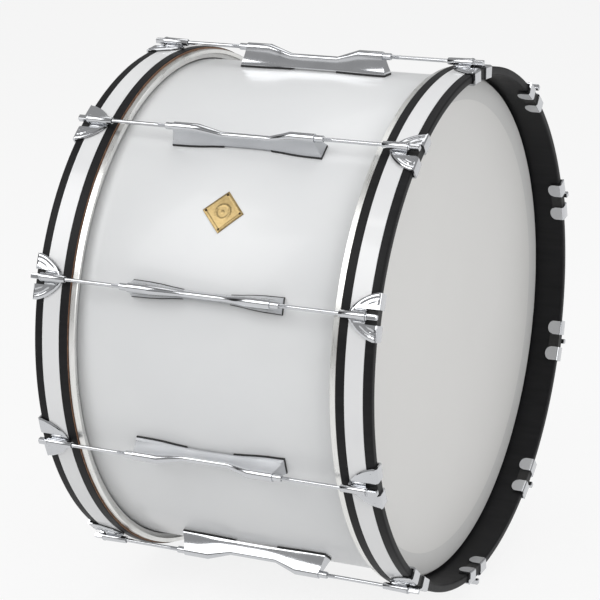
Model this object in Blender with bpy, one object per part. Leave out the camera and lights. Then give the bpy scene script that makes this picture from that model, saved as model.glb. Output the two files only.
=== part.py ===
"""Marching bass drum, 24 by 14 inches, as the separate pieces it comes apart into on a bench.

The drum's axis is X, +Z is up and the origin is the drum's centre. Ten lugs stand round the shell, the
first at the top, and each takes one tension rod from either side. On each side the rods draw ten claws,
a wood hoop and a flesh hoop with its drumhead towards the shell.

Repeated pieces are built once at the top of the drum, radially along +Z, and turned round X into place.
The left side is the right side turned half a turn about Z.
"""

from math import cos, pi, radians, sin

import bmesh
import bpy
from mathutils import Matrix, Vector

# Driving dimensions, in metres
LUG_COUNT = 10
RING_SEGMENTS = 40
HEAD_SEGMENTS = 40
GAP = 0.0003

SHELL_RADIUS = 0.3048
SHELL_HALF_DEPTH = 0.1778
SHELL_THICKNESS = 0.0070

HOOP_RADIUS = 0.3200
HOOP_THICKNESS = 0.0096
HOOP_INBOARD = 0.1716
HOOP_OUTBOARD = 0.2159
HOOP_ROUNDING = 0.0022
INLAY_INBOARD = 0.1826
INLAY_OUTBOARD = 0.2054
INLAY_DEPTH = 0.0012

FLESH_HOOP_RADIUS = 0.3172
FLESH_HOOP_THICKNESS = 0.0052
FLESH_HOOP_INBOARD = 0.1634

FILM_THICKNESS = 0.0010
COLLAR_RADIUS = 0.3062
COLLAR_SHOULDER = 0.0030

ROD_AXIS_RADIUS = 0.3284
ROD_RADIUS = 0.0025
ROD_TIP = 0.0640
ROD_FLANGE_RADIUS = 0.0050
ROD_FLANGE_INBOARD = 0.2065
ROD_FLANGE_OUTBOARD = 0.2079
KEY_SQUARE = 0.00635
KEY_END = 0.2196

LUG_BASE_END = 0.0960
LUG_RIDGE_END = 0.0905
LUG_BOSS_START = 0.0590
LUG_BRIDGE_END = 0.0305
LUG_FOOT_END = 0.0325
LUG_FOOT_HALF_WIDTH = 0.0097
LUG_BRIDGE_HALF_WIDTH = 0.0052
LUG_RIDGE_RADIUS = 0.0056
LUG_BRIDGE_RIDGE_RADIUS = 0.0036
LUG_BRIDGE_TOP_RADIUS = 0.3242

GASKET_THICKNESS = 0.0020

NUT_RADIUS = 0.0042
NUT_BORE_RADIUS = 0.0029
NUT_INBOARD = 0.0720
NUT_OUTBOARD = 0.1012

CLAW_PLATE = 0.0021
CLAW_HALF_SPAN = 0.0272
CLAW_LENGTH = 0.0345
CLAW_NOTCH_HALF_WIDTH = 0.0086
CLAW_NOTCH_INBOARD = 0.2040
CLAW_LOBE_INBOARD = 0.2010
CLAW_FAN_EXPONENT = 1.54
BARREL_INBOARD = 0.1745
BARREL_OUTBOARD = 0.2062
BARREL_INBOARD_RADIUS = 0.0042
BARREL_OUTBOARD_RADIUS = 0.0054
BARREL_BORE_RADIUS = 0.0031
RIB_HALF_WIDTH = 0.0034
RIB_INBOARD = 0.1830

LINER_THICKNESS = 0.0007

BADGE_SIDE = 0.0380
BADGE_THICKNESS = 0.0008
BADGE_PLACE = -0.0020
BADGE_TURN = radians(53.2)

# Levels that follow from the driving dimensions
LINER_BASE = HOOP_RADIUS + GAP
CLAW_BASE = LINER_BASE + LINER_THICKNESS + GAP
CLAW_TOP = CLAW_BASE + CLAW_PLATE
LINER_FACE = HOOP_OUTBOARD + GAP
CLAW_FACE = LINER_FACE + LINER_THICKNESS + GAP
HOOP_BORE = HOOP_RADIUS - HOOP_THICKNESS
LINER_UNDERSIDE = HOOP_BORE - GAP
CLAW_LOBE_TOP = LINER_UNDERSIDE - LINER_THICKNESS - GAP
LUG_BASE = SHELL_RADIUS + GAP
BRIDGE_BASE = LUG_BASE + GASKET_THICKNESS


def clear_scene():
    """Empty the file of every object."""
    for old in list(bpy.data.objects):
        bpy.data.objects.remove(old, do_unlink=True)


def make_material(name, colour, roughness, metallic=0.0):
    """A Principled material of one colour."""
    material = bpy.data.materials.new(name)
    material.use_nodes = True
    shader = material.node_tree.nodes["Principled BSDF"]
    shader.inputs["Base Color"].default_value = (*colour, 1.0)
    shader.inputs["Roughness"].default_value = roughness
    shader.inputs["Metallic"].default_value = metallic
    material.diffuse_color = (*colour, 1.0)
    return material


def make_empty(name):
    """An empty on the drum's axis that carries what slides together."""
    empty = bpy.data.objects.new(name, None)
    bpy.context.collection.objects.link(empty)
    return empty


def mesh_from(shape, name):
    """Turn a bmesh into a mesh with its faces out and its round faces smooth."""
    bmesh.ops.remove_doubles(shape, verts=shape.verts, dist=1e-6)
    bmesh.ops.recalc_face_normals(shape, faces=shape.faces)
    if shape.calc_volume(signed=True) < 0.0:
        bmesh.ops.reverse_faces(shape, faces=shape.faces)
    mesh = bpy.data.meshes.new(name)
    shape.to_mesh(mesh)
    shape.free()
    mesh.shade_smooth()
    mesh.set_sharp_from_angle(angle=radians(28))
    return mesh


def add_piece(name, mesh, material, parent=None):
    """Put a mesh into the scene as one named piece."""
    if not mesh.materials:
        mesh.materials.append(material)
    piece = bpy.data.objects.new(name, mesh)
    bpy.context.collection.objects.link(piece)
    piece.parent = parent
    return piece


def add_cutter(name, shape):
    """Put a shape into the scene that only cuts others."""
    cutter = bpy.data.objects.new(name, mesh_from(shape, name))
    bpy.context.collection.objects.link(cutter)
    cutter.hide_render = True
    cutter.display_type = "WIRE"
    return cutter


def add_boolean(piece, cutter, operation="DIFFERENCE"):
    """Join or cut a piece with another by an exact Boolean."""
    boolean = piece.modifiers.new(cutter.name, "BOOLEAN")
    boolean.object = cutter
    boolean.operation = operation
    boolean.solver = "EXACT"


def baked(name, shape, unions=(), cuts=()):
    """The mesh of a shape after its unions and cuts, to be shared by every copy."""
    blank = bpy.data.objects.new(name, mesh_from(shape, name + "_blank"))
    bpy.context.collection.objects.link(blank)
    tools = []
    for operation, shapes in (("UNION", unions), ("DIFFERENCE", cuts)):
        for number, tool_shape in enumerate(shapes):
            tool = add_cutter(f"{name}_{operation.lower()}_{number}", tool_shape)
            add_boolean(blank, tool, operation)
            tools.append(tool)
    evaluated = blank.evaluated_get(bpy.context.evaluated_depsgraph_get())
    result = bmesh.new()
    result.from_mesh(evaluated.to_mesh())
    evaluated.to_mesh_clear()
    for helper in [blank, *tools]:
        bpy.data.objects.remove(helper, do_unlink=True)
    bmesh.ops.triangulate(result, faces=result.faces)
    return result


def revolve(profile, segments):
    """Turn a closed profile of (distance along X, radius) round the X axis."""
    shape = bmesh.new()
    rings = []
    for along, radius in profile:
        if radius == 0.0:
            rings.append([shape.verts.new((along, 0.0, 0.0))] * segments)
            continue
        rings.append(
            [
                shape.verts.new((along, radius * sin(turn), radius * cos(turn)))
                for turn in (2 * pi * step / segments for step in range(segments))
            ]
        )
    for first, second in zip(rings, rings[1:] + rings[:1]):
        for step in range(segments):
            after = (step + 1) % segments
            corners = [first[step], first[after], second[after], second[step]]
            corners = list(dict.fromkeys(corners))
            if len(corners) > 2:
                shape.faces.new(corners)
    return shape


def mirrored(profile):
    """The same profile on the drum's left side."""
    return [(-along, radius) for along, radius in profile]


def close_in_strips(shape, row):
    """Close a symmetric outline with flat strips from its left points to its right ones."""
    low, high = 0, len(row) - 1
    while high - low > 1:
        corners = [row[low], row[low + 1], row[high - 1], row[high]]
        shape.faces.new(list(dict.fromkeys(corners)))
        low += 1
        high -= 1


def loft(sections, strips=False):
    """Skin a row of sections of equal point count, and close both ends."""
    shape = bmesh.new()
    rows = [[shape.verts.new(point) for point in section] for section in sections]
    count = len(rows[0])
    for first, second in zip(rows, rows[1:]):
        for step in range(count):
            after = (step + 1) % count
            shape.faces.new((first[step], first[after], second[after], second[step]))
    for row in (rows[0], rows[-1]):
        if strips:
            close_in_strips(shape, row)
        else:
            shape.faces.new(row)
    bmesh.ops.recalc_face_normals(shape, faces=shape.faces)
    return shape


def ring_points(along, radius, sides, height=0.0, turn=0.0):
    """Points of a regular polygon square to X, centred at a height above the axis."""
    angles = [turn + 2 * pi * step / sides for step in range(sides)]
    return [(along, radius * sin(a), height + radius * cos(a)) for a in angles]


def rod_shape(start, end, radius_start, radius_end, sides, height=0.0):
    """A straight or tapered round bar along X."""
    turn = pi / sides
    return loft(
        [
            ring_points(start, radius_start, sides, height, turn),
            ring_points(end, radius_end, sides, height, turn),
        ]
    )


def lug_turn(number):
    """Angle of a lug from the top of the drum, lug 1 being at the top."""
    return 2 * pi * (number - 1) / LUG_COUNT


def placement(number, side):
    """Matrix that takes a piece from the top right of the drum to its own place."""
    half_turn = 0.0 if side == "right" else pi
    return Matrix.Rotation(lug_turn(number), 4, "X") @ Matrix.Rotation(half_turn, 4, "Z")


def bent(shape, radius):
    """Wrap a shape drawn flat over the top of the drum round the drum's axis."""
    for vertex in shape.verts:
        along, across, height = vertex.co
        turn = across / radius
        vertex.co = Vector((along, height * sin(turn), height * cos(turn)))
    return shape


def shell_profile():
    """Shell wall with a bearing edge: an outer round-over and a 45 degree inner cut."""
    peak = SHELL_RADIUS - 0.0022
    bore = SHELL_RADIUS - SHELL_THICKNESS
    outer_start = SHELL_HALF_DEPTH - 0.0026
    inner_start = SHELL_HALF_DEPTH - (peak - bore)
    right = [(outer_start, SHELL_RADIUS), (SHELL_HALF_DEPTH, peak), (inner_start, bore)]
    return right + mirrored(right)[::-1]


def hoop_profile():
    """Wood hoop with rounded outboard edges and a groove for its inlay."""
    floor = HOOP_RADIUS - INLAY_DEPTH
    return [
        (HOOP_INBOARD, HOOP_RADIUS),
        (INLAY_INBOARD, HOOP_RADIUS),
        (INLAY_INBOARD, floor),
        (INLAY_OUTBOARD, floor),
        (INLAY_OUTBOARD, HOOP_RADIUS),
        (HOOP_OUTBOARD - HOOP_ROUNDING, HOOP_RADIUS),
        (HOOP_OUTBOARD, HOOP_RADIUS - HOOP_ROUNDING),
        (HOOP_OUTBOARD, HOOP_BORE),
        (HOOP_INBOARD, HOOP_BORE),
    ]


def inlay_profile():
    """Strip that lies flush in the hoop's groove."""
    floor = HOOP_RADIUS - INLAY_DEPTH + GAP
    return [
        (INLAY_INBOARD + GAP, HOOP_RADIUS),
        (INLAY_OUTBOARD - GAP, HOOP_RADIUS),
        (INLAY_OUTBOARD - GAP, floor),
        (INLAY_INBOARD + GAP, floor),
    ]


def flesh_hoop_profile():
    """Aluminium hoop that the drumhead is clamped in, under the wood hoop."""
    outboard = HOOP_INBOARD - GAP
    bore = FLESH_HOOP_RADIUS - FLESH_HOOP_THICKNESS
    return [
        (FLESH_HOOP_INBOARD, FLESH_HOOP_RADIUS),
        (outboard, FLESH_HOOP_RADIUS),
        (outboard, bore),
        (FLESH_HOOP_INBOARD, bore),
    ]


def drumhead_profile():
    """Film over the bearing edge, its collar down the shell and its flange into the flesh hoop."""
    face = SHELL_HALF_DEPTH + GAP
    collar_end = FLESH_HOOP_INBOARD + 0.0036
    flange = FLESH_HOOP_RADIUS - FLESH_HOOP_THICKNESS - GAP
    outer_collar = COLLAR_RADIUS + FILM_THICKNESS
    return [
        (face + FILM_THICKNESS, 0.0),
        (face + FILM_THICKNESS, outer_collar - COLLAR_SHOULDER),
        (face + FILM_THICKNESS - COLLAR_SHOULDER, outer_collar),
        (collar_end + FILM_THICKNESS, outer_collar),
        (collar_end + FILM_THICKNESS, flange),
        (collar_end, flange),
        (collar_end, COLLAR_RADIUS),
        (face, COLLAR_RADIUS),
        (face, 0.0),
    ]


def lug_section(base_along, ridge_along, half_width, ridge_radius, top, base=LUG_BASE):
    """Cross-section of a lug: a flat foot, hollowed flanks and a half-round ridge."""
    centre = top - ridge_radius
    waist_height = base + 0.42 * (centre - base)
    waist_along = base_along + 0.42 * (ridge_along - base_along)
    waist = ridge_radius + 0.30 * (half_width - ridge_radius)
    slant = 0.7071 * ridge_radius
    right = [
        (base_along, half_width, base),
        (waist_along, waist, waist_height),
        (ridge_along, ridge_radius, centre),
        (ridge_along, slant, centre + slant),
    ]
    left = [(along, -across, height) for along, across, height in reversed(right)]
    return right + [(ridge_along, 0.0, top)] + left


def lug_mesh():
    """Bridge lug: two bosses on padded feet, a swivel nut in each, and a low narrow bridge between."""
    boss_top = ROD_AXIS_RADIUS + LUG_RIDGE_RADIUS
    foot_at_boss_start = LUG_FOOT_HALF_WIDTH - 0.0011
    bridge = (LUG_BRIDGE_HALF_WIDTH, LUG_BRIDGE_RIDGE_RADIUS, LUG_BRIDGE_TOP_RADIUS)
    half = [
        (LUG_BASE_END, LUG_RIDGE_END, LUG_FOOT_HALF_WIDTH, LUG_RIDGE_RADIUS, boss_top),
        (LUG_BOSS_START, LUG_BOSS_START, foot_at_boss_start, LUG_RIDGE_RADIUS, boss_top),
        (LUG_FOOT_END, LUG_FOOT_END, *bridge),
        (LUG_BRIDGE_END, LUG_BRIDGE_END, *bridge, BRIDGE_BASE),
    ]
    right = [lug_section(*station) for station in half]
    left = [[(-x, y, z) for x, y, z in section] for section in reversed(right)]
    nuts = []
    bores = []
    for direction in (1, -1):
        nut = (direction * NUT_INBOARD, direction * NUT_OUTBOARD)
        bore = (direction * (ROD_TIP - 0.0030), direction * (NUT_OUTBOARD + 0.0050))
        nuts.append(rod_shape(*nut, NUT_RADIUS, NUT_RADIUS, 8, ROD_AXIS_RADIUS))
        bores.append(rod_shape(*bore, NUT_BORE_RADIUS, NUT_BORE_RADIUS, 8, ROD_AXIS_RADIUS))
    return mesh_from(baked("lug", loft(right + left, strips=True), unions=nuts, cuts=bores), "lug")


def key_points(along):
    """Outline of the square key: its corners and the middles of its sides."""
    half = KEY_SQUARE / 2
    reach = [half if step % 2 == 0 else half * 2 ** 0.5 for step in range(8)]
    angles = [step * pi / 4 for step in range(8)]
    return [(along, r * sin(a), r * cos(a)) for r, a in zip(reach, angles)]


def tension_rod_mesh():
    """Key rod: a threaded shank, a round flange and a square head for a drum key."""
    rings = [
        ring_points(ROD_TIP, ROD_RADIUS, 8),
        ring_points(ROD_FLANGE_INBOARD, ROD_RADIUS, 8),
        ring_points(ROD_FLANGE_INBOARD, ROD_FLANGE_RADIUS, 8),
        ring_points(ROD_FLANGE_OUTBOARD, ROD_FLANGE_RADIUS, 8),
        key_points(ROD_FLANGE_OUTBOARD),
        key_points(KEY_END),
    ]
    return mesh_from(loft(rings), "tension_rod")


def fan_edge(across):
    """Inboard edge of a claw's fan at a distance from its middle."""
    share = min(abs(across) / CLAW_HALF_SPAN, 1.0)
    reach = (1.0 - share ** CLAW_FAN_EXPONENT) ** (1.0 / CLAW_FAN_EXPONENT)
    return HOOP_OUTBOARD - CLAW_LENGTH * reach


def folded_sheet(columns, top, base, notch=None):
    """Closed sheet over the hoop's outboard edge.

    A column is its place across and two paths of (along, height), on the sheet's outer and inner side.
    Columns nearer the middle than the notch keep only their first two rows.
    """
    shape = bmesh.new()
    outer = [[shape.verts.new((x, across, z)) for x, z in top(across)] for across in columns]
    inner = [[shape.verts.new((x, across, z)) for x, z in base(across)] for across in columns]
    kept = set()
    for column in range(len(columns) - 1):
        middle = 0.5 * (columns[column] + columns[column + 1])
        rows = len(outer[0]) - 1 if notch is None or abs(middle) > notch else 1
        kept.update((column, row) for row in range(rows))
    for column, row in kept:
        corners = ((column, row), (column + 1, row), (column + 1, row + 1), (column, row + 1))
        shape.faces.new([outer[c][r] for c, r in corners])
        shape.faces.new([inner[c][r] for c, r in reversed(corners)])
        for number, beyond in enumerate(((0, -1), (1, 0), (0, 1), (-1, 0))):
            if (column + beyond[0], row + beyond[1]) in kept:
                continue
            (c1, r1), (c2, r2) = corners[number], corners[(number + 1) % 4]
            shape.faces.new((outer[c2][r2], outer[c1][r1], inner[c1][r1], inner[c2][r2]))
    loose = [vertex for vertex in shape.verts if not vertex.link_faces]
    bmesh.ops.delete(shape, geom=loose, context="VERTS")
    return shape


def claw_shape():
    """Cast claw: a fan each side of a barrel, and two tongues folded over the hoop's edge."""
    shoulder = 0.0185
    columns = [-CLAW_HALF_SPAN, -shoulder, -CLAW_NOTCH_HALF_WIDTH, 0.0]
    columns += [-across for across in reversed(columns[:-1])]

    def outer_path(across):
        tip = min(fan_edge(across), HOOP_OUTBOARD - 0.0040)
        notch_row = max(CLAW_NOTCH_INBOARD, tip + 0.0020)
        face = CLAW_FACE + CLAW_PLATE
        bore = CLAW_LOBE_TOP - CLAW_PLATE
        lobe = CLAW_LOBE_INBOARD
        return [(tip, CLAW_TOP), (notch_row, CLAW_TOP), (face, CLAW_TOP), (face, bore), (lobe, bore)]

    def inner_path(across):
        tip, notch_row = (row[0] for row in outer_path(across)[:2])
        return [
            (tip, CLAW_BASE),
            (notch_row, CLAW_BASE),
            (CLAW_FACE, CLAW_BASE),
            (CLAW_FACE, CLAW_LOBE_TOP),
            (CLAW_LOBE_INBOARD, CLAW_LOBE_TOP),
        ]

    fans = folded_sheet(columns, outer_path, inner_path, CLAW_NOTCH_HALF_WIDTH)
    barrel = rod_shape(
        BARREL_INBOARD,
        BARREL_OUTBOARD,
        BARREL_INBOARD_RADIUS,
        BARREL_OUTBOARD_RADIUS,
        8,
        ROD_AXIS_RADIUS,
    )
    reach = 0.0050
    bore = rod_shape(
        BARREL_INBOARD - reach,
        BARREL_OUTBOARD + reach,
        BARREL_BORE_RADIUS,
        BARREL_BORE_RADIUS,
        6,
        ROD_AXIS_RADIUS,
    )
    rib = loft(
        [
            [(along, -RIB_HALF_WIDTH, low), (along, RIB_HALF_WIDTH, low), (along, RIB_HALF_WIDTH, high),
             (along, -RIB_HALF_WIDTH, high)]
            for along, low, high in (
                (RIB_INBOARD, CLAW_BASE + 0.0010, ROD_AXIS_RADIUS - 0.0008),
                (CLAW_NOTCH_INBOARD - 0.0003, CLAW_BASE + 0.0010, ROD_AXIS_RADIUS - 0.0008),
            )
        ]
    )
    return baked("claw", bent(fans, HOOP_RADIUS), unions=[rib, barrel], cuts=[bore])


def badge_mesh():
    """Square plate on its corner, bent to the shell."""
    half = BADGE_SIDE / 2 ** 0.5
    base = SHELL_RADIUS + GAP
    sections = []
    for share in (-0.98, -0.5, 0.0, 0.5, 0.98):
        width = half * (1.0 - abs(share))
        across = half * share
        levels = ((-width, base), (width, base), (width, base + BADGE_THICKNESS))
        corners = [*levels, (-width, base + BADGE_THICKNESS)]
        sections.append([(BADGE_PLACE + x, across, z) for x, z in corners])
    return mesh_from(bent(loft(sections), SHELL_RADIUS), "badge")


def shell_and_fittings(materials):
    """The shell, and everything that is screwed to it."""
    add_piece(
        "shell", mesh_from(revolve(shell_profile(), RING_SEGMENTS), "shell"), materials["white_wrap"]
    )
    lug = lug_mesh()
    for number in range(1, LUG_COUNT + 1):
        piece = add_piece(f"lug_{number:02d}", lug, materials["chrome"])
        piece.rotation_euler = (lug_turn(number), 0.0, 0.0)
    badge = add_piece("badge", badge_mesh(), materials["brass"])
    badge.rotation_euler = (BADGE_TURN, 0.0, 0.0)


def hoop_side(side, materials):
    """One side's hoops, drumhead, claws and rods, which slide along the drum's axis together."""
    carrier = make_empty(f"hoop_carrier_{side}")
    rings = (
        ("wood_hoop", hoop_profile(), RING_SEGMENTS, "black_lacquer"),
        ("hoop_inlay", inlay_profile(), RING_SEGMENTS, "white_inlay"),
        ("flesh_hoop", flesh_hoop_profile(), HEAD_SEGMENTS, "aluminium"),
        ("drumhead", drumhead_profile(), HEAD_SEGMENTS, "head_film"),
    )
    for name, profile, segments, finish in rings:
        outline = profile if side == "right" else mirrored(profile)
        mesh = mesh_from(revolve(outline, segments), f"{name}_{side}")
        add_piece(f"{name}_{side}", mesh, materials[finish], carrier)
    claw = mesh_from(claw_shape(), "claw")
    rod = tension_rod_mesh()
    for number in range(1, LUG_COUNT + 1):
        place = placement(number, side)
        piece = add_piece(f"claw_{side}_{number:02d}", claw, materials["chrome"], carrier)
        piece.matrix_world = place
        piece = add_piece(f"tension_rod_{side}_{number:02d}", rod, materials["chrome"], carrier)
        piece.matrix_world = place @ Matrix.Translation((0.0, 0.0, ROD_AXIS_RADIUS))


def build():
    """Build the whole drum."""
    clear_scene()
    materials = {
        "white_wrap": make_material("white_wrap", (0.84, 0.85, 0.86), 0.12),
        "black_lacquer": make_material("black_lacquer", (0.012, 0.012, 0.013), 0.30),
        "white_inlay": make_material("white_inlay", (0.86, 0.87, 0.88), 0.20),
        "aluminium": make_material("aluminium", (0.78, 0.78, 0.77), 0.30, 1.0),
        "head_film": make_material("head_film", (0.80, 0.80, 0.78), 0.45),
        "chrome": make_material("chrome", (0.80, 0.81, 0.82), 0.08, 1.0),
        "brass": make_material("brass", (0.62, 0.47, 0.24), 0.30, 1.0),
    }
    shell_and_fittings(materials)
    for side in ("right", "left"):
        hoop_side(side, materials)


build()
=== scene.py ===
from math import cos, pi, radians, sin, sqrt

import bmesh
import bpy
from mathutils import Matrix, Vector


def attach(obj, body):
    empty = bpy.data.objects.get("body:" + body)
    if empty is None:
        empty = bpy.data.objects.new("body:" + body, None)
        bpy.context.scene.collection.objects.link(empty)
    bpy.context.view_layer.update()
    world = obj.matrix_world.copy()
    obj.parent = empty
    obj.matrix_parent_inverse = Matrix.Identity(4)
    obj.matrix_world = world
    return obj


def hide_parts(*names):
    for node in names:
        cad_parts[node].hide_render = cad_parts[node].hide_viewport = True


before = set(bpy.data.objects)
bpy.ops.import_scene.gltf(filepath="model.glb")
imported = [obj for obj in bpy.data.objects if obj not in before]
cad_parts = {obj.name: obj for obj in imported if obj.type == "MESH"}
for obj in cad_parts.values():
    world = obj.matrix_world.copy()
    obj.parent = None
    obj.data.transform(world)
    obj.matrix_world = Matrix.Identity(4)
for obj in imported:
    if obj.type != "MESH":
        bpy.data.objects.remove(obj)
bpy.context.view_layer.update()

# Driving dimensions in metres, fitted to the CAD's solids
LUG_COUNT = 10
RING_SEGMENTS = 240
GAP = 0.0003
MERGE_DISTANCE = 1e-7

SHELL_RADIUS = 0.3048
SHELL_HALF_DEPTH = 0.1778
SHELL_BORE = 0.2978
BEARING_START = 0.0026
BEARING_SHOULDER_DEPTH = 0.0010
BEARING_SHOULDER_DROP = 0.0008
BEARING_CREST_DROP = 0.0022
BEARING_SLOPE = 0.0048

HOOP_RADIUS = 0.3200
HOOP_BORE = 0.3104
HOOP_INBOARD = 0.1716
HOOP_OUTBOARD = 0.2159
HOOP_ROUNDING = 0.0022
HOOP_BEVEL = 0.0008
INLAY_INBOARD = 0.1826
INLAY_OUTBOARD = 0.2054
INLAY_DEPTH = 0.0012
INLAY_PLAY = 0.0001

FLESH_RADIUS = 0.3172
FLESH_BORE = 0.3120
FLESH_INBOARD = 0.1634
FLESH_OUTBOARD = 0.1713
FLESH_LIP = 0.0008

HEAD_FACE = 0.1791
HEAD_MIDDLE_RADIUS = 0.1500
HEAD_GREY_RADIUS = 0.2780
HEAD_OUTER_RADIUS = 0.2935
HEAD_COLLAR_RADIUS = 0.3067
HEAD_COLLAR_END = 0.1670
HEAD_SHOULDER = 0.0030
HEAD_FILM = 0.0005

ROD_AXIS_RADIUS = 0.3284
ROD_RADIUS = 0.0025
ROD_SHANK_RADIUS = 0.00235
ROD_ROOT_RADIUS = 0.0022
ROD_TIP_RADIUS = 0.0019
ROD_TIP = 0.0640
THREAD_START = 0.0645
THREAD_END = 0.1120
SHANK_START = 0.1130
THREAD_PITCH = 0.0254 / 24
FLANGE_INBOARD = 0.2065
FLANGE_OUTBOARD = 0.2079
FLANGE_RADIUS = 0.0050
FLANGE_EDGE = 0.0004
FLANGE_CHAMFER_DEPTH = 0.0006
FLANGE_CHAMFER_WIDTH = 0.0008
KEY_HALF = 0.003175
KEY_END = 0.2196
KEY_CORNER = 0.0007
KEY_CHAMFER = 0.0008
KEY_SINK = 0.0003

LUG_FOOT_RADIUS = 0.3073
LUG_FOOT_EDGE = 0.0012
LUG_BOSS_TOP = 0.3340
LUG_BRIDGE_TOP = 0.3242
LUG_END = 0.0960
NUT_INBOARD = 0.0860
NUT_OUTBOARD = 0.1012
NUT_RADIUS = 0.0042
NUT_BORE_RADIUS = 0.0029
PAD_BASE_RADIUS = 0.3050
PAD_MARGIN = 0.0006
PAD_END_MARGIN = 0.0004
PAD_END_ZONE = 0.0030

CLAW_BASE = 0.3213
CLAW_TOP = 0.3234
CLAW_FACE_OUT = 0.2193
CLAW_BORE_TOP = 0.3091
CLAW_BORE_LOW = 0.3070
CLAW_BEND = 0.0026
CLAW_HALF_SPAN = 0.0272
CLAW_LENGTH = 0.0345
CLAW_EXPONENT = 1.54
FAN_LAND = 0.0030
NOTCH_HALF_WIDTH = 0.0086
NOTCH_INBOARD = 0.2040
LOBE_INBOARD = 0.2010
LOBE_ROUNDING = 0.0075

# Steps of a claw's sheet along its fan and its tongue, and across its tongues and its web
FAN_STEPS = 16
TONGUE_STEPS = 6
LOBE_STEPS = 14
WEB_STEPS = 8

BARREL_INBOARD = 0.1745
BARREL_OUTBOARD = 0.2062
BARREL_BORE_RADIUS = 0.0031
RIB_BASE = 0.3216
RIB_SINK = 0.0010
RIB_TAPER = 0.8
RIDGE_OFFSET = 0.0068
RIDGE_INBOARD = 0.1905
RIDGE_OUTBOARD = 0.2030
RIDGE_RADIUS = 0.0014
RIDGE_LIFT = 0.0004

# Relief of a claw's fan. Shares run from 0 at the notch to 1 at the fan's edge.
FAN_CROWN = 0.0009
FLUTE_START = 0.0105
FLUTE_FADE = 0.0030
FLUTE_SHARES = (0.60, 0.78)
FLUTE_HALF_SHARE = 0.055
FLUTE_DEPTH = 0.0008
EDGE_SHARE = 0.93
EDGE_DROP = 0.0012

LINER_THICKNESS = 0.0007
LINER_LOBE_INBOARD = 0.2035
LINER_INBOARD = 0.1820
LINER_LAND = 0.0020
LINER_SIDE_MARGIN = 0.0002
LINER_EDGE_MARGIN = 0.0004
LINER_STEPS = 12

BADGE_TURN = radians(53.2)
BADGE_PLACE = -0.0020
BADGE_GAP = 0.0002
BADGE_THICKNESS = 0.0008
BADGE_RELIEF = 0.00035
BADGE_EDGE_DROP = 0.0003
BADGE_STEPS = 40
NAIL_SINK = 0.0001

# The badge is 2% smaller than the CAD's
BADGE_DIAGONAL = 0.05374 * 0.98

# The badge's relief and nails in shares of its half side
BORDER_START = 0.80
BORDER_END = 0.90
RIM_START = 0.97
RING_START = 0.40
RING_END = 0.52
DOT_RADIUS = 0.10
NAIL_SHARE = 0.82

FLOOR_LEVEL = -0.3345
FLOOR_REACH = 12.0
FLOOR_GLOW = 0.85
AMBIENT_STRENGTH = 0.42

SIDES = ("right", "left")


def make_finish(name, colours, roughness, scale, stretch=(1, 1, 1), metallic=0.0, coat=0.0, bump=None):
    """A Principled material whose noise varies its colour, its roughness and, with a bump, its height.

    The noise is in the piece's own space, in turns per metre. A bump is a strength and a distance.
    """
    material = bpy.data.materials.new(name)
    material.use_nodes = True
    nodes, links = material.node_tree.nodes, material.node_tree.links
    shader = nodes["Principled BSDF"]
    shader.inputs["Metallic"].default_value = metallic
    shader.inputs["Coat Weight"].default_value = coat
    shader.inputs["Coat Roughness"].default_value = 0.04
    place = nodes.new("ShaderNodeTexCoord")
    mapping = nodes.new("ShaderNodeMapping")
    mapping.inputs["Scale"].default_value = stretch
    texture = nodes.new("ShaderNodeTexNoise")
    texture.inputs["Scale"].default_value = scale
    texture.inputs["Detail"].default_value = 4.0
    ramp = nodes.new("ShaderNodeValToRGB")
    for element, position, colour in zip(ramp.color_ramp.elements, (0.3, 0.7), colours):
        element.position = position
        element.color = (*colour, 1.0)
    spread = nodes.new("ShaderNodeMapRange")
    spread.inputs["To Min"].default_value = roughness[0]
    spread.inputs["To Max"].default_value = roughness[1]
    links.new(place.outputs["Object"], mapping.inputs["Vector"])
    links.new(mapping.outputs["Vector"], texture.inputs["Vector"])
    links.new(texture.outputs["Fac"], ramp.inputs["Fac"])
    links.new(ramp.outputs["Color"], shader.inputs["Base Color"])
    links.new(texture.outputs["Fac"], spread.inputs["Value"])
    links.new(spread.outputs["Result"], shader.inputs["Roughness"])
    if bump:
        relief = nodes.new("ShaderNodeBump")
        relief.inputs["Strength"].default_value = bump[0]
        relief.inputs["Distance"].default_value = bump[1]
        links.new(texture.outputs["Fac"], relief.inputs["Height"])
        links.new(relief.outputs["Normal"], shader.inputs["Normal"])
    return material


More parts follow.
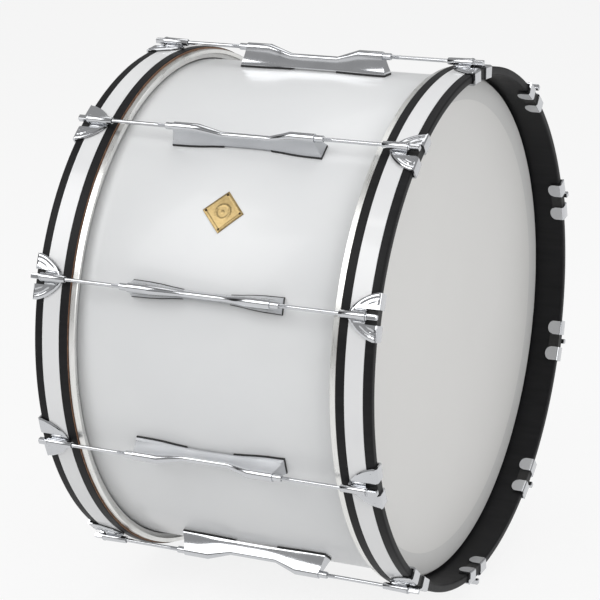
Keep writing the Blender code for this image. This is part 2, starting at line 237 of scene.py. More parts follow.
def make_materials():
    """Every finish on the drum."""
    black = make_finish(
        "hoop_lacquer",
        ((0.005, 0.005, 0.006), (0.010, 0.010, 0.011)),
        (0.42, 0.58),
        60.0,
        stretch=(0.3, 3.0, 3.0),
        bump=(0.12, 0.0003),
    )
    black.node_tree.nodes["Principled BSDF"].inputs["Specular IOR Level"].default_value = 0.22
    return {
        "wrap": make_finish(
            "shell_wrap", ((0.765, 0.775, 0.785), (0.795, 0.805, 0.81)), (0.26, 0.36), 9.0, coat=0.15
        ),
        "black": black,
        "wood": make_finish(
            "raw_maple", ((0.13, 0.062, 0.035), (0.28, 0.155, 0.09)), (0.5, 0.7), 140.0, (6, 1, 1)
        ),
        "inlay": make_finish(
            "hoop_stripe", ((0.785, 0.79, 0.80), (0.82, 0.825, 0.83)), (0.18, 0.27), 14.0, coat=0.3
        ),
        "film": make_finish(
            "head_film", ((0.740, 0.735, 0.720), (0.765, 0.760, 0.745)), (0.38, 0.48), 5.0
        ),
        "ring": make_finish(
            "head_edge_ring", ((0.640, 0.640, 0.632), (0.680, 0.680, 0.672)), (0.42, 0.54), 11.0
        ),
        "aluminium": make_finish(
            "flesh_aluminium",
            ((0.74, 0.74, 0.72), (0.86, 0.86, 0.84)),
            (0.22, 0.36),
            90.0,
            stretch=(8.0, 0.6, 0.6),
            metallic=1.0,
        ),
        "chrome": make_finish(
            "chrome_plate", ((0.55, 0.56, 0.58), (0.61, 0.62, 0.64)), (0.08, 0.15), 25.0, metallic=1.0
        ),
        "rubber": make_finish(
            "black_rubber",
            ((0.010, 0.010, 0.010), (0.022, 0.022, 0.022)),
            (0.5, 0.7),
            400.0,
            bump=(0.2, 0.0001),
        ),
        "brass": make_finish(
            "badge_brass",
            ((0.30, 0.215, 0.095), (0.44, 0.33, 0.16)),
            (0.25, 0.45),
            300.0,
            metallic=1.0,
            bump=(0.2, 0.0001),
        ),
        "nail": make_finish(
            "nail_bronze", ((0.045, 0.03, 0.02), (0.09, 0.06, 0.035)), (0.35, 0.5), 500.0, metallic=1.0
        ),
    }


MATERIALS = make_materials()


def to_mesh(shape, name, finishes, angle=30.0):
    """A bmesh as a smooth mesh with its finishes, sharp where faces meet at more than the angle."""
    bmesh.ops.remove_doubles(shape, verts=shape.verts, dist=MERGE_DISTANCE)
    bmesh.ops.recalc_face_normals(shape, faces=shape.faces)
    if shape.calc_volume(signed=True) < 0.0:
        bmesh.ops.reverse_faces(shape, faces=shape.faces)
    mesh = bpy.data.meshes.new(name)
    shape.to_mesh(mesh)
    shape.free()
    mesh.shade_smooth()
    mesh.set_sharp_from_angle(angle=radians(angle))
    for finish in finishes:
        mesh.materials.append(MATERIALS[finish])
    return mesh


def place(name, mesh, body, matrix=None, node=None, slot=None):
    """Put a mesh, moved by the matrix, into the scene, on its body and in place of its node."""
    if matrix is not None:
        mesh = mesh.copy()
        mesh.transform(matrix)
    piece = bpy.data.objects.new(name, mesh)
    bpy.context.scene.collection.objects.link(piece)
    bpy.context.view_layer.update()
    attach(piece, body)
    if node:
        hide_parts(node)
    return piece


def side_matrix(side, number=1):
    """From the top right of the drum to a place on one side."""
    flip = 0.0 if side == "right" else pi
    turn = 2 * pi * (number - 1) / LUG_COUNT
    return Matrix.Rotation(turn, 4, "X") @ Matrix.Rotation(flip, 4, "Z")


def arc(centre, radius, start, end, steps):
    """Points on an arc of (along, radius) about a centre, angles in degrees."""
    turns = [radians(start + (end - start) * step / steps) for step in range(steps + 1)]
    return [(centre[0] + radius * cos(t), centre[1] + radius * sin(t)) for t in turns]


def revolve(profile, segments, finish_at=None):
    """Turn a closed profile of (along, radius) round X. finish_at gives each profile edge's finish."""
    shape = bmesh.new()
    rings = []
    for along, radius in profile:
        if radius == 0.0:
            rings.append([shape.verts.new((along, 0.0, 0.0))] * segments)
        else:
            turns = [2 * pi * step / segments for step in range(segments)]
            rings.append([shape.verts.new((along, radius * sin(t), radius * cos(t))) for t in turns])
    for number, (first, second) in enumerate(zip(rings, rings[1:] + rings[:1])):
        for step in range(segments):
            after = (step + 1) % segments
            corners = list(dict.fromkeys([first[step], first[after], second[after], second[step]]))
            if len(corners) > 2:
                face = shape.faces.new(corners)
                face.material_index = finish_at[number] if finish_at else 0
    return shape


def skin(sections, close=True):
    """Faces over a row of sections of equal count, with strips across both ends."""
    shape = bmesh.new()
    rows = [[shape.verts.new(point) for point in section] for section in sections]
    count = len(rows[0])
    for first, second in zip(rows, rows[1:]):
        for step in range(count):
            after = (step + 1) % count
            shape.faces.new((first[step], first[after], second[after], second[step]))
    for row in (rows[0], rows[-1]) if close else ():
        low, high = 0, count - 1
        while high - low > 1:
            shape.faces.new(list(dict.fromkeys([row[low], row[low + 1], row[high - 1], row[high]])))
            low, high = low + 1, high - 1
    return shape


def cap_ends(shape, count):
    """Close both ends of a skinned shape with one flat face each."""
    verts = list(shape.verts)
    shape.faces.new(verts[:count])
    shape.faces.new(verts[-count:])


def merge(target, source, matrix=None):
    """Add a bmesh to another."""
    holder = bpy.data.meshes.new("holder")
    if matrix is not None:
        bmesh.ops.transform(source, matrix=matrix, verts=source.verts)
    bmesh.ops.recalc_face_normals(source, faces=source.faces)
    source.to_mesh(holder)
    source.free()
    target.from_mesh(holder)
    bpy.data.meshes.remove(holder)


def make_shell():
    """Shell with its bearing edges, eased outside and sloping down to the bore."""
    right = [
        (SHELL_HALF_DEPTH - BEARING_START, SHELL_RADIUS),
        (SHELL_HALF_DEPTH - BEARING_SHOULDER_DEPTH, SHELL_RADIUS - BEARING_SHOULDER_DROP),
        (SHELL_HALF_DEPTH, SHELL_RADIUS - BEARING_CREST_DROP),
        (SHELL_HALF_DEPTH - BEARING_SLOPE, SHELL_BORE),
    ]
    profile = right + [(-x, r) for x, r in reversed(right)]
    mesh = to_mesh(revolve(profile, RING_SEGMENTS), "shell_mesh", ["wrap"])
    place("drum_shell", mesh, "shell_assembly", node="shell", slot="white_wrap")


def make_hoop(side):
    """Wood hoop, black outside with a bare inboard edge."""
    floor = HOOP_RADIUS - INLAY_DEPTH
    edge = HOOP_OUTBOARD - HOOP_ROUNDING
    profile = [
        (HOOP_INBOARD, HOOP_RADIUS - HOOP_BEVEL),
        (HOOP_INBOARD + HOOP_BEVEL, HOOP_RADIUS),
        (INLAY_INBOARD, HOOP_RADIUS),
        (INLAY_INBOARD, floor),
        (INLAY_OUTBOARD, floor),
        (INLAY_OUTBOARD, HOOP_RADIUS),
    ]
    profile += arc((edge, HOOP_RADIUS - HOOP_ROUNDING), HOOP_ROUNDING, 90.0, 0.0, 5)
    profile += arc((edge, HOOP_BORE + HOOP_ROUNDING), HOOP_ROUNDING, 0.0, -90.0, 5)
    profile += [(HOOP_INBOARD, HOOP_BORE)]
    finish_at = [0] * (len(profile) - 1) + [1]
    mesh = to_mesh(revolve(profile, RING_SEGMENTS, finish_at), f"hoop_mesh_{side}", ["black", "wood"])
    body = f"hoop_assembly_{side}"
    place(f"hoop_{side}", mesh, body, side_matrix(side), f"wood_hoop_{side}", "black_lacquer")


def make_stripe(side):
    """White stripe in the hoop's groove."""
    low, high = INLAY_INBOARD + INLAY_PLAY, INLAY_OUTBOARD - INLAY_PLAY
    floor = HOOP_RADIUS - INLAY_DEPTH + INLAY_PLAY
    rise = 0.0003
    profile = [
        (low, HOOP_RADIUS - rise),
        (low + rise, HOOP_RADIUS),
        (high - rise, HOOP_RADIUS),
        (high, HOOP_RADIUS - rise),
        (high, floor),
        (low, floor),
    ]
    mesh = to_mesh(revolve(profile, RING_SEGMENTS), f"stripe_mesh_{side}", ["inlay"])
    body = f"hoop_assembly_{side}"
    place(f"hoop_stripe_{side}", mesh, body, side_matrix(side), f"hoop_inlay_{side}", "white_inlay")


def make_flesh_ring(side):
    """Flesh hoop that holds the edge of the head."""
    profile = [
        (FLESH_INBOARD, FLESH_BORE),
        (FLESH_INBOARD, FLESH_RADIUS - FLESH_LIP),
        (FLESH_INBOARD + FLESH_LIP, FLESH_RADIUS),
        (FLESH_OUTBOARD - FLESH_LIP, FLESH_RADIUS),
        (FLESH_OUTBOARD, FLESH_RADIUS - FLESH_LIP),
        (FLESH_OUTBOARD, FLESH_BORE),
    ]
    mesh = to_mesh(revolve(profile, RING_SEGMENTS), f"flesh_mesh_{side}", ["aluminium"])
    body = f"hoop_assembly_{side}"
    place(f"flesh_ring_{side}", mesh, body, side_matrix(side), f"flesh_hoop_{side}", "aluminium")


def make_head(side):
    """Drumhead, whose film turns over the bearing edge on a soft shoulder, grey near its edge."""
    flat = [(HEAD_FACE, radius) for radius in (0.0, HEAD_MIDDLE_RADIUS, HEAD_GREY_RADIUS, HEAD_OUTER_RADIUS)]
    bend = (HEAD_FACE - HEAD_SHOULDER, HEAD_COLLAR_RADIUS - HEAD_SHOULDER)
    shoulder = arc(bend, HEAD_SHOULDER, 0.0, 90.0, 6)
    flange = [
        (HEAD_COLLAR_END + HEAD_FILM, HEAD_COLLAR_RADIUS),
        (HEAD_COLLAR_END + HEAD_FILM, FLESH_BORE - GAP),
        (HEAD_COLLAR_END, FLESH_BORE - GAP),
        (HEAD_COLLAR_END, HEAD_COLLAR_RADIUS - HEAD_FILM),
    ]
    inner = arc(bend, HEAD_SHOULDER - HEAD_FILM, 90.0, 0.0, 6) + [(HEAD_FACE - HEAD_FILM, 0.0)]
    profile = flat + shoulder + flange + inner
    white_edges = flat.index((HEAD_FACE, HEAD_GREY_RADIUS))
    grey_edges = len(flat) + len(shoulder) - 1 - white_edges
    finish_at = [0] * white_edges + [1] * grey_edges
    finish_at += [0] * (len(profile) - len(finish_at))
    mesh = to_mesh(revolve(profile, RING_SEGMENTS, finish_at), f"head_mesh_{side}", ["film", "ring"])
    body = f"hoop_assembly_{side}"
    place(f"head_{side}", mesh, body, side_matrix(side), f"drumhead_{side}", "head_film")


def lug_stations():
    """(along at foot, along at ridge, foot half width, ridge radius, top) over half a lug."""
    slope_top = 0.5 * (LUG_BOSS_TOP + LUG_BRIDGE_TOP)
    return [
        (LUG_END, 0.0905, 0.0097, 0.0056, LUG_BOSS_TOP),
        (0.0940, 0.0890, 0.0096, 0.0056, LUG_BOSS_TOP),
        (0.0740, 0.0740, 0.0092, 0.0056, LUG_BOSS_TOP),
        (0.0592, 0.0592, 0.0082, 0.0056, LUG_BOSS_TOP),
        (0.0450, 0.0450, 0.0066, 0.0046, slope_top),
        (0.0305, 0.0305, 0.0054, 0.0036, LUG_BRIDGE_TOP),
        (0.0150, 0.0150, 0.0050, 0.0036, LUG_BRIDGE_TOP),
    ]


def lug_section(foot_at, ridge_at, half_width, ridge_radius, top):
    """A flat foot, hollowed flanks and a half-round ridge."""
    centre = top - ridge_radius
    low = LUG_FOOT_RADIUS + LUG_FOOT_EDGE
    points = [(foot_at, half_width, LUG_FOOT_RADIUS), (foot_at, half_width, low)]
    for step in range(1, 6):
        share = step / 6
        hollow = ridge_radius + (half_width - ridge_radius) * (1.0 - share) ** 2.0
        along = foot_at + (ridge_at - foot_at) * share
        points.append((along, hollow, low + (centre - low) * share))
    for step in range(7):
        turn = pi / 2 * step / 6
        points.append((ridge_at, ridge_radius * cos(turn), centre + ridge_radius * sin(turn)))
    return points + [(x, -y, z) for x, y, z in reversed(points[:-1])]


def lug_casting_mesh():
    """Both halves of a lug, with the bridge between them."""
    right = [lug_section(*station) for station in lug_stations()]
    left = [[(-x, y, z) for x, y, z in section] for section in reversed(right)]
    return to_mesh(skin(right + left), "lug_mesh", ["chrome"], 24.0)


def nut_mesh():
    """Swivel nut that shows at the end of a lug: a round tube with softened edges."""
    edge = 0.0003
    profile = [
        (NUT_INBOARD, NUT_BORE_RADIUS),
        (NUT_INBOARD, NUT_RADIUS - edge),
        (NUT_INBOARD + edge, NUT_RADIUS),
        (NUT_OUTBOARD - edge, NUT_RADIUS),
        (NUT_OUTBOARD, NUT_RADIUS - edge),
        (NUT_OUTBOARD, NUT_BORE_RADIUS),
    ]
    shape = revolve(profile, 24)
    bmesh.ops.translate(shape, verts=shape.verts, vec=(0.0, 0.0, ROD_AXIS_RADIUS))
    return to_mesh(shape, "nut_mesh", ["chrome"])


def pad_mesh():
    """Rubber pad under half a lug, hollowed to the shell and showing slightly round the foot."""
    rows = []
    for foot_at, _, half_width, _, _ in lug_stations()[:6]:
        near_end = LUG_END - foot_at < PAD_END_ZONE
        along = foot_at + (PAD_END_MARGIN if near_end else 0.0)
        width = half_width + PAD_MARGIN
        drop = width * width / (2 * SHELL_RADIUS)
        rows.append(
            [
                (along, width, PAD_BASE_RADIUS - drop),
                (along, width, LUG_FOOT_RADIUS),
                (along, -width, LUG_FOOT_RADIUS),
                (along, -width, PAD_BASE_RADIUS - drop),
                (along, 0.0, PAD_BASE_RADIUS),
            ]
        )
    shape = skin(rows, close=False)
    cap_ends(shape, len(rows[0]))
    return to_mesh(shape, "pad_mesh", ["rubber"])


def make_lugs():
    """Ten castings, each with its two nuts and its two pads."""
    casting, nut, pad = lug_casting_mesh(), nut_mesh(), pad_mesh()
    body = "shell_assembly"
    for number in range(1, LUG_COUNT + 1):
        tag = f"{number:02d}"
        place(f"lug_casting_{tag}", casting, body, side_matrix("right", number), f"lug_{tag}", "chrome")
        for side in SIDES:
            matrix = side_matrix(side, number)
            place(f"lug_nut_{side}_{tag}", nut, body, matrix, slot="chrome")
            place(f"lug_pad_{side}_{tag}", pad, body, matrix)


def fan_edge(across):
    """Inboard edge of a claw's fan."""
    share = min(abs(across) / CLAW_HALF_SPAN, 1.0)
    reach = (1.0 - share**CLAW_EXPONENT) ** (1.0 / CLAW_EXPONENT)
    return HOOP_OUTBOARD - CLAW_LENGTH * reach


def fan_relief(along, across):
    """Height of the fan's surface: a low crown with two flutes that follow its edge."""
    depth = max(HOOP_OUTBOARD - along, 0.0) / CLAW_LENGTH
    spread = abs(across) / CLAW_HALF_SPAN
    share = (depth**CLAW_EXPONENT + spread**CLAW_EXPONENT) ** (1 / CLAW_EXPONENT)
    relief = FAN_CROWN * (1.0 - share**2)
    if abs(across) > FLUTE_START:
        fade = min((abs(across) - FLUTE_START) / FLUTE_FADE, 1.0)
        for flute in FLUTE_SHARES:
            relief -= FLUTE_DEPTH * fade * max(0.0, 1.0 - ((share - flute) / FLUTE_HALF_SHARE) ** 2)
    if share > EDGE_SHARE:
        relief -= EDGE_DROP * (share - EDGE_SHARE) / (1.0 - EDGE_SHARE)
    return relief


def fan_paths(across, end):
    """Outer and inner path of a fan from its inboard edge, as (along, height)."""
    tip = min(fan_edge(across), HOOP_OUTBOARD - FAN_LAND)
    places = [tip + (end - tip) * step / FAN_STEPS for step in range(FAN_STEPS + 1)]
    outer = [(along, CLAW_TOP + fan_relief(along, across)) for along in places]
    inner = [(along, CLAW_BASE) for along in places]
    return outer, inner


def tongue_paths(across):
    """A fan's paths, carried on over the hoop's edge and along its bore to the tongue's round end."""
    straight_end = CLAW_FACE_OUT - CLAW_BEND
    outer, inner = fan_paths(across, straight_end)
    small = CLAW_BEND - (CLAW_TOP - CLAW_BASE)
    upper = (straight_end, CLAW_TOP - CLAW_BEND)
    outer += arc(upper, CLAW_BEND, 90.0, 0.0, 5)[1:]
    inner += arc(upper, small, 90.0, 0.0, 5)[1:]
    lower = (straight_end, CLAW_BORE_LOW + CLAW_BEND)
    outer += arc(lower, CLAW_BEND, 0.0, -90.0, 5)
    inner += arc(lower, small, 0.0, -90.0, 5)
    middle = 0.5 * (NOTCH_HALF_WIDTH + CLAW_HALF_SPAN)
    half = 0.5 * (CLAW_HALF_SPAN - NOTCH_HALF_WIDTH)
    off = min(abs(abs(across) - middle) / half, 1.0)
    lobe = LOBE_INBOARD + LOBE_ROUNDING * (1.0 - sqrt(1.0 - off**2))
    for step in range(1, TONGUE_STEPS + 1):
        along = straight_end + (lobe - straight_end) * step / TONGUE_STEPS
        outer.append((along, CLAW_BORE_LOW))
        inner.append((along, CLAW_BORE_TOP))
    return outer, inner


def sheet_between(columns):
    """A closed sheet through columns of (across, outer path, inner path), bent round the drum."""
    shape = bmesh.new()

    def row_of(across, path):
        turn = across / HOOP_RADIUS
        return [shape.verts.new((x, z * sin(turn), z * cos(turn))) for x, z in path]

    outer = [row_of(across, path) for across, path, _ in columns]
    inner = [row_of(across, path) for across, _, path in columns]
    for rows in (outer, inner):
        for first, second in zip(rows, rows[1:]):
            for step in range(len(first) - 1):
                shape.faces.new((first[step], first[step + 1], second[step + 1], second[step]))
    for first_out, second_out, first_in, second_in in zip(outer, outer[1:], inner, inner[1:]):
        for end in (0, -1):
            shape.faces.new((first_out[end], second_out[end], second_in[end], first_in[end]))
    for column in (0, -1):
        for step in range(len(outer[column]) - 1):
            corners = (outer[column][step], outer[column][step + 1])
            shape.faces.new((*corners, inner[column][step + 1], inner[column][step]))
    return shape


def capsule(start, end, radius, segments=16):
    """A round-ended bar along X."""
    profile = [(start - radius, 0.0)]
    profile += [(start - radius * cos(t), radius * sin(t)) for t in (pi / 6, pi / 3, pi / 2)]
    profile += [(end + radius * cos(t), radius * sin(t)) for t in (pi / 2, pi / 3, pi / 6)]
    profile += [(end + radius, 0.0)]
    return revolve(profile, segments)


def barrel_shape():
    """Hollow barrel that the rod passes through, with a collar at its outboard end."""
    profile = [
        (BARREL_INBOARD, BARREL_BORE_RADIUS),
        (BARREL_INBOARD, 0.0038),
        (0.1750, 0.0042),
        (0.1960, 0.0047),
        (0.2046, 0.0050),
        (0.2048, 0.0054),
        (0.2060, 0.0054),
        (BARREL_OUTBOARD, 0.0051),
        (BARREL_OUTBOARD, BARREL_BORE_RADIUS),
    ]
    return revolve(profile, 32)


def rib_shape():
    """Rib that widens outboard, from the web up to the barrel."""
    low, high = RIB_BASE, ROD_AXIS_RADIUS - RIB_SINK
    rows = []
    for along, width in ((0.1815, 0.0012), (0.1850, 0.0026), (0.2036, 0.0040)):
        narrow = width * RIB_TAPER
        side = [(along, width, low), (along, narrow, high)]
        rows.append(side + [(along, -narrow, high), (along, -width, low)])
    return skin(rows)


def claw_mesh():
    """Two fans with their tongues, the web between them, the barrel and its two side ridges."""
    whole = bmesh.new()
    width = CLAW_HALF_SPAN - NOTCH_HALF_WIDTH
    for sign in (1, -1):
        columns = []
        for step in range(LOBE_STEPS + 1):
            across = NOTCH_HALF_WIDTH + width * sin(step / LOBE_STEPS * pi / 2)
            columns.append((sign * across, *tongue_paths(across)))
        merge(whole, sheet_between(columns))
    web = []
    for step in range(WEB_STEPS + 1):
        across = NOTCH_HALF_WIDTH * (2 * step / WEB_STEPS - 1)
        web.append((across, *fan_paths(across, NOTCH_INBOARD)))
    merge(whole, sheet_between(web))
    merge(whole, barrel_shape(), Matrix.Translation((0.0, 0.0, ROD_AXIS_RADIUS)))
    merge(whole, rib_shape())
    for across in (-RIDGE_OFFSET, RIDGE_OFFSET):
        ridge = capsule(RIDGE_INBOARD, RIDGE_OUTBOARD, RIDGE_RADIUS)
        merge(whole, ridge, Matrix.Translation((0.0, across, CLAW_TOP + RIDGE_LIFT)))
    return to_mesh(whole, "claw_mesh", ["chrome"], 40.0)


def liner_mesh():
    """Soft black sheet under a claw, over the hoop's edge and into its bore."""
    columns = []
    half_span = CLAW_HALF_SPAN - LINER_SIDE_MARGIN
    face, top, bore = HOOP_OUTBOARD + GAP, HOOP_RADIUS + GAP, HOOP_BORE - GAP
    for step in range(LINER_STEPS + 1):
        across = half_span * (2 * step / LINER_STEPS - 1)
        edge = min(fan_edge(across) + LINER_EDGE_MARGIN, HOOP_OUTBOARD - LINER_LAND)
        start = max(edge, LINER_INBOARD)
        outer = [
            (start, top + LINER_THICKNESS),
            (face + LINER_THICKNESS, top + LINER_THICKNESS),
            (face + LINER_THICKNESS, bore - LINER_THICKNESS),
            (LINER_LOBE_INBOARD, bore - LINER_THICKNESS),
        ]
        inner = [(start, top), (face, top), (face, bore), (LINER_LOBE_INBOARD, bore)]
        columns.append((across, outer, inner))
    return to_mesh(sheet_between(columns), "liner_mesh", ["rubber"])


def shank_shape():
    """Rod with its thread, drawn as rings, and its flange."""
    profile = [(ROD_TIP, 0.0), (ROD_TIP, ROD_TIP_RADIUS)]
    for turn in range(int((THREAD_END - ROD_TIP) / THREAD_PITCH)):
        along = THREAD_START + turn * THREAD_PITCH
        profile += [(along, ROD_ROOT_RADIUS), (along + 0.5 * THREAD_PITCH, ROD_RADIUS)]
    profile += [
        (SHANK_START, ROD_SHANK_RADIUS),
        (FLANGE_INBOARD, ROD_SHANK_RADIUS),
        (FLANGE_INBOARD, FLANGE_RADIUS - FLANGE_EDGE),
        (FLANGE_INBOARD + FLANGE_EDGE, FLANGE_RADIUS),
        (FLANGE_OUTBOARD - FLANGE_CHAMFER_DEPTH, FLANGE_RADIUS),
        (FLANGE_OUTBOARD, FLANGE_RADIUS - FLANGE_CHAMFER_WIDTH),
        (FLANGE_OUTBOARD, 0.0),
    ]
    return revolve(profile, 20)


def key_outline(along, half):
    """Square with rounded corners across the rod's axis."""
    points = []
    for quarter in range(4):
        middle = pi / 2 * quarter + pi / 4
        reach = (half - KEY_CORNER) * sqrt(2)
        for step in range(4):
            turn = pi / 2 * quarter + pi / 2 * step / 3
            across = reach * cos(middle) + KEY_CORNER * cos(turn)
            up = reach * sin(middle) + KEY_CORNER * sin(turn)
            points.append((along, across, up))
    return points


def rod_mesh():
    """Tension rod with its square key end, along X about its own axis."""
    whole = bmesh.new()
    merge(whole, shank_shape())
    rows = [
        key_outline(FLANGE_OUTBOARD - KEY_SINK, KEY_HALF),
        key_outline(KEY_END - KEY_CHAMFER, KEY_HALF),
        key_outline(KEY_END, KEY_HALF - KEY_CHAMFER),
    ]
    key = skin(rows, close=False)
    cap_ends(key, len(rows[0]))
    merge(whole, key)
    return to_mesh(whole, "rod_mesh", ["chrome"], 35.0)


def make_tension():
    """Claws, liners and rods of both sides."""
    claw, liner, rod = claw_mesh(), liner_mesh(), rod_mesh()
    lift = Matrix.Translation((0.0, 0.0, ROD_AXIS_RADIUS))
    for side in SIDES:
        body = f"hoop_assembly_{side}"
        for number in range(1, LUG_COUNT + 1):
            tag = f"{side}_{number:02d}"
            matrix = side_matrix(side, number)
            place(f"cast_claw_{tag}", claw, body, matrix, f"claw_{tag}", "chrome")
            place(f"claw_liner_{tag}", liner, body, matrix)
            place(f"key_rod_{tag}", rod, f"rod_{tag}", matrix @ lift, f"tension_rod_{tag}", "chrome")


def badge_height(u, v):
    """Badge's thickness with its border, ring and middle dot. u and v run from -1 to 1 along its sides."""
    edge = max(abs(u), abs(v))
    middle = sqrt(u * u + v * v)
    border = BORDER_START < edge < BORDER_END
    ring = RING_START < middle < RING_END
    rise = BADGE_RELIEF if border or ring or middle < DOT_RADIUS else 0.0
    drop = BADGE_EDGE_DROP if edge > RIM_START else 0.0
    return BADGE_THICKNESS + rise - drop


def badge_spot(u, v):
    """Distance along the drum and turn round it for a place on the badge, which stands on its corner."""
    along = BADGE_PLACE + (u + v) * BADGE_DIAGONAL / 4
    turn = (u - v) * BADGE_DIAGONAL / 4 / SHELL_RADIUS
    return along, turn


def badge_grid(shape, base, relief):
    """One side of the badge as a grid of points with its faces."""
    grid = []
    for i in range(BADGE_STEPS + 1):
        row = []
        for j in range(BADGE_STEPS + 1):
            u, v = 2 * i / BADGE_STEPS - 1, 2 * j / BADGE_STEPS - 1
            along, turn = badge_spot(u, v)
            radius = base + (badge_height(u, v) if relief else 0.0)
            row.append(shape.verts.new((along, radius * sin(turn), radius * cos(turn))))
        grid.append(row)
    for first, second in zip(grid, grid[1:]):
        for j in range(BADGE_STEPS):
            shape.faces.new((first[j], second[j], second[j + 1], first[j + 1]))
    return grid


def make_badge():
    """Square brass plate on its corner, bent to the shell, with a border, a plain ring and four nails."""
    base = SHELL_RADIUS + BADGE_GAP
    shape = bmesh.new()
    under = badge_grid(shape, base, relief=False)
    over = badge_grid(shape, base, relief=True)
    for i in range(BADGE_STEPS):
        for side in (0, -1):
            shape.faces.new((under[i][side], under[i + 1][side], over[i + 1][side], over[i][side]))
        for side in (0, -1):
            shape.faces.new((under[side][i], under[side][i + 1], over[side][i + 1], over[side][i]))
    turned = Matrix.Rotation(BADGE_TURN, 4, "X")
    mesh = to_mesh(shape, "badge_mesh", ["brass"], 50.0)
    place("badge_plate", mesh, "shell_assembly", turned, "badge", "brass")
    dome = [(0.0, 0.0), (0.0, 0.0016), (0.0004, 0.0015), (0.0009, 0.0008), (0.0010, 0.0)]
    upright = Matrix.Rotation(-pi / 2, 4, "Y")
    nails = bmesh.new()
    for u, v in ((1, 1), (1, -1), (-1, 1), (-1, -1)):
        along, turn = badge_spot(NAIL_SHARE * u, NAIL_SHARE * v)
        seat = Matrix.Translation((along, 0.0, base + BADGE_THICKNESS - NAIL_SINK))
        merge(nails, revolve(dome, 16), Matrix.Rotation(-turn, 4, "X") @ seat @ upright)
    place("badge_nails", to_mesh(nails, "nail_mesh", ["nail"]), "shell_assembly", turned)


def add_card(name, corners, material):
    """A flat sheet in the scene, with its corners in order."""
    mesh = bpy.data.meshes.new(name)
    mesh.from_pydata(corners, [], [(0, 1, 2, 3)])
    mesh.materials.append(material)
    card = bpy.data.objects.new(name, mesh)
    bpy.context.scene.collection.objects.link(card)
    return card


def seen_by(tree, *rays):
    """Output that is 1 for either of two kinds of ray."""
    path = tree.nodes.new("ShaderNodeLightPath")
    either = tree.nodes.new("ShaderNodeMath")
    either.operation = "MAXIMUM"
    for ray, socket in zip(rays, either.inputs):
        tree.links.new(path.outputs[ray], socket)
    return either.outputs["Value"]


def make_floor():
    """Pale floor that shows nearly white and keeps the drum's shadow."""
    pale = bpy.data.materials.new("pale_floor")
    pale.use_nodes = True
    nodes, links = pale.node_tree.nodes, pale.node_tree.links
    shader = nodes["Principled BSDF"]
    shader.inputs["Base Color"].default_value = (0.85, 0.85, 0.85, 1.0)
    shader.inputs["Roughness"].default_value = 0.8
    glow = nodes.new("ShaderNodeEmission")
    glow.inputs["Color"].default_value = (1.0, 1.0, 1.0, 1.0)
    share = nodes.new("ShaderNodeMath")
    share.operation = "MULTIPLY"
    share.inputs[1].default_value = FLOOR_GLOW
    mix = nodes.new("ShaderNodeMixShader")
    links.new(seen_by(pale.node_tree, "Is Camera Ray", "Is Glossy Ray"), share.inputs[0])
    links.new(share.outputs["Value"], mix.inputs["Fac"])
    links.new(shader.outputs["BSDF"], mix.inputs[1])
    links.new(glow.outputs["Emission"], mix.inputs[2])
    links.new(mix.outputs["Shader"], nodes["Material Output"].inputs["Surface"])
    ways = ((-1, -1), (1, -1), (1, 1), (-1, 1))
    corners = [(x * FLOOR_REACH, y * FLOOR_REACH, FLOOR_LEVEL) for x, y in ways]
    add_card("floor", corners, pale)


def make_world():
    """Surroundings that light the drum softly and show white behind it."""
    world = bpy.data.worlds.new("studio")
    world.use_nodes = True
    nodes, links = world.node_tree.nodes, world.node_tree.links
    plain = nodes["Background"]
    plain.inputs["Color"].default_value = (1.0, 1.0, 1.0, 1.0)
    plain.inputs["Strength"].default_value = AMBIENT_STRENGTH
    white = nodes.new("ShaderNodeBackground")
    white.inputs["Color"].default_value = (1.0, 1.0, 1.0, 1.0)
    white.inputs["Strength"].default_value = 1.0
    mix = nodes.new("ShaderNodeMixShader")
    links.new(seen_by(world.node_tree, "Is Camera Ray", "Is Transmission Ray"), mix.inputs["Fac"])
    links.new(plain.outputs["Background"], mix.inputs[1])
    links.new(white.outputs["Background"], mix.inputs[2])
    links.new(mix.outputs["Shader"], nodes["World Output"].inputs["Surface"])
    bpy.context.scene.world = world


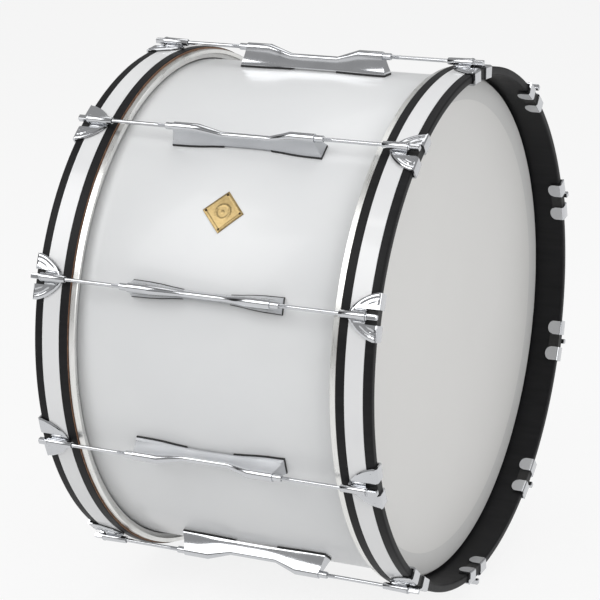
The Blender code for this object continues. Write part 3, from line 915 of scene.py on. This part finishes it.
def make_cards():
    """Dark cards that show only in reflections, as a studio's do."""
    dark = bpy.data.materials.new("dark_card")
    dark.use_nodes = True
    dark.node_tree.nodes["Principled BSDF"].inputs["Base Color"].default_value = (0.02, 0.02, 0.02, 1.0)
    cards = (
        ("left_card", (-3.2, -1.4, 0.2), 0.9, 2.4),
        ("front_card", (0.2, -3.6, -0.1), 1.3, 0.35),
        ("high_card", (0.4, -1.8, 2.6), 1.6, 0.25),
    )
    for name, spot, wide, high in cards:
        corners = [(-wide, -high, 0), (wide, -high, 0), (wide, high, 0), (-wide, high, 0)]
        card = add_card(name, corners, dark)
        card.location = spot
        card.rotation_euler = Vector(spot).to_track_quat("Z", "Y").to_euler()
        card.visible_camera = card.visible_diffuse = card.visible_shadow = False


def make_lamps():
    """Three large square lamps that face the drum's centre: place, side and power in watts."""
    lamps = (
        ("key_lamp", (-1.6, -2.6, 2.4), 2.2, 50.0),
        ("fill_lamp", (2.8, -1.2, 1.2), 2.0, 30.0),
        ("top_lamp", (0.3, 0.6, 3.0), 2.4, 26.0),
    )
    for name, spot, side, power in lamps:
        light = bpy.data.lights.new(name, "AREA")
        light.shape = "SQUARE"
        light.size = side
        light.energy = power
        lamp = bpy.data.objects.new(name, light)
        lamp.location = spot
        lamp.rotation_euler = (-Vector(spot)).to_track_quat("-Z", "Y").to_euler()
        bpy.context.scene.collection.objects.link(lamp)


def make_camera():
    """The photograph's camera, fitted to the edges of both hoops."""
    yaw, pitch, roll = 0.4510, 0.2796, -0.0122
    distance, across, up = 2.8571, 0.02205, -0.01370
    back = Vector((sin(yaw) * cos(pitch), -cos(yaw) * cos(pitch), sin(pitch)))
    level_right = Vector((cos(yaw), sin(yaw), 0.0))
    level_up = back.cross(level_right)
    right = cos(roll) * level_right + sin(roll) * level_up
    top = cos(roll) * level_up - sin(roll) * level_right
    camera = bpy.data.cameras.new("camera")
    camera.sensor_width = 36.0
    camera.lens = 136.64
    camera.clip_end = 60.0
    viewer = bpy.data.objects.new("camera", camera)
    turn = Matrix((right, top, back)).transposed().to_4x4()
    viewer.matrix_world = Matrix.Translation(distance * back - across * right - up * top) @ turn
    bpy.context.scene.collection.objects.link(viewer)
    bpy.context.scene.camera = viewer


make_floor()
make_world()
make_cards()
make_lamps()
make_camera()
bpy.context.scene.view_settings.view_transform = "Standard"

make_shell()
for hoop_side in SIDES:
    make_hoop(hoop_side)
    make_stripe(hoop_side)
    make_flesh_ring(hoop_side)
    make_head(hoop_side)
make_lugs()
make_tension()
make_badge()

bpy.context.view_layer.update()
